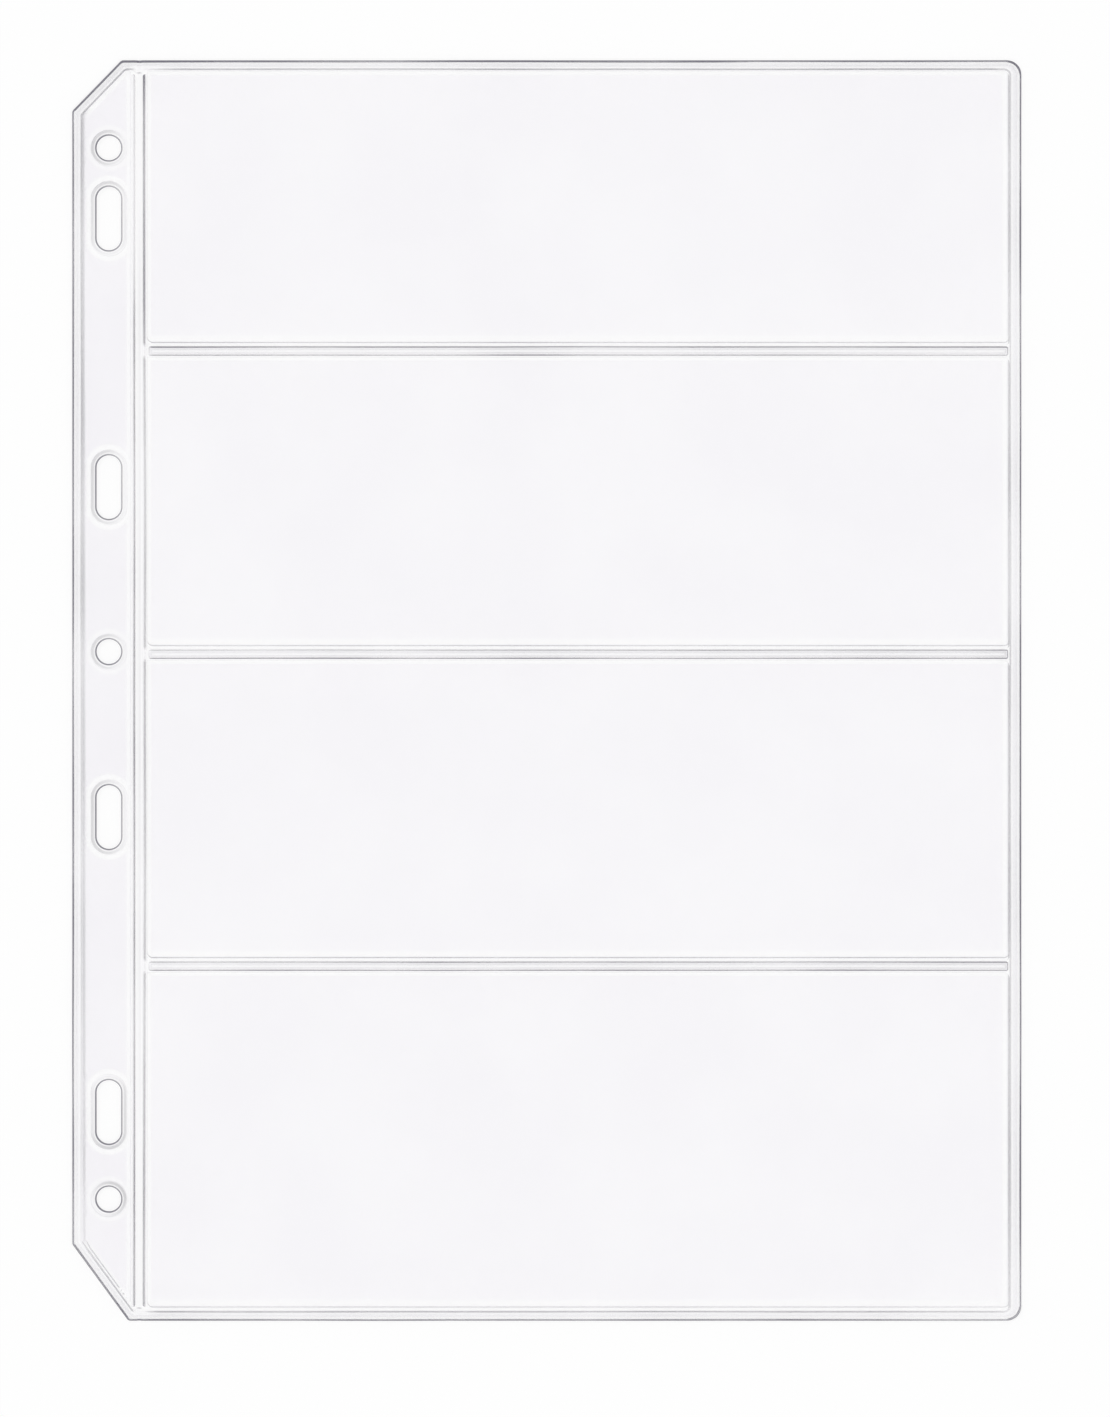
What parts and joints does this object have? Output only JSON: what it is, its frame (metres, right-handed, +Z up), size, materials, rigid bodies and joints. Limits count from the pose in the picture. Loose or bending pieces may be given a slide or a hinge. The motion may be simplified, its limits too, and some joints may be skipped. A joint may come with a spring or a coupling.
{
  "type": "banknote album page",
  "caption": "Clear plastic album page with stacked top-opening banknote pockets welded to a full back film, and a punched binding strip that folds at a crease.",
  "frame": {"origin": "under the middle of the page, on the surface that the back film lies on", "axes": "+X from the binding edge to the fore edge, +Y to the top of the page, +Z up through the films to the front"},
  "size_m": [0.195, 0.259, 0.0006],
  "materials": {
    "clear_film": "clear soft film with a smooth gloss",
    "weld_seam": "clear film fused into a glossy seam"
  },
  "bodies": {
    "strip": {"strip_back_film": "clear_film", "strip_front_film": "clear_film", "strip_edge_weld": "weld_seam", "strip_spine_weld": "weld_seam", "ring_hole_collar_top": "weld_seam", "ring_hole_collar_middle": "weld_seam", "ring_hole_collar_bottom": "weld_seam", "slot_collar_1": "weld_seam", "slot_collar_2": "weld_seam", "slot_collar_3": "weld_seam", "slot_collar_4": "weld_seam"},
    "leaf": {"leaf_back_film": "clear_film", "leaf_edge_weld": "weld_seam", "leaf_spine_weld": "weld_seam", "divider_weld_1": "weld_seam", "divider_weld_2": "weld_seam", "divider_weld_3": "weld_seam"},
    "pocket_front_1": {"pocket_film_1": "clear_film"},
    "pocket_front_2": {"pocket_film_2": "clear_film"},
    "pocket_front_3": {"pocket_film_3": "clear_film"},
    "pocket_front_4": {"pocket_film_4": "clear_film"}
  },
  "joints": [
    {"name": "leaf_fold", "type": "hinge", "parent": "strip", "child": "leaf", "pos_m": [-0.0838, 0, 0.00007], "axis": [0, -1, 0], "range_deg": [0, 90]},
    {"name": "pocket_1_mouth", "type": "hinge", "parent": "leaf", "child": "pocket_front_1", "pos_m": [0.0065, 0.0709, 0.0004], "axis": [1, 0, 0], "range_deg": [0, 6]},
    {"name": "pocket_2_mouth", "type": "hinge", "parent": "leaf", "child": "pocket_front_2", "pos_m": [0.0065, 0.0086, 0.0004], "axis": [1, 0, 0], "range_deg": [0, 6]},
    {"name": "pocket_3_mouth", "type": "hinge", "parent": "leaf", "child": "pocket_front_3", "pos_m": [0.0065, -0.0555, 0.0004], "axis": [1, 0, 0], "range_deg": [0, 6]},
    {"name": "pocket_4_mouth", "type": "hinge", "parent": "leaf", "child": "pocket_front_4", "pos_m": [0.0065, -0.12729, 0.0004], "axis": [1, 0, 0], "range_deg": [0, 6]}
  ]
}
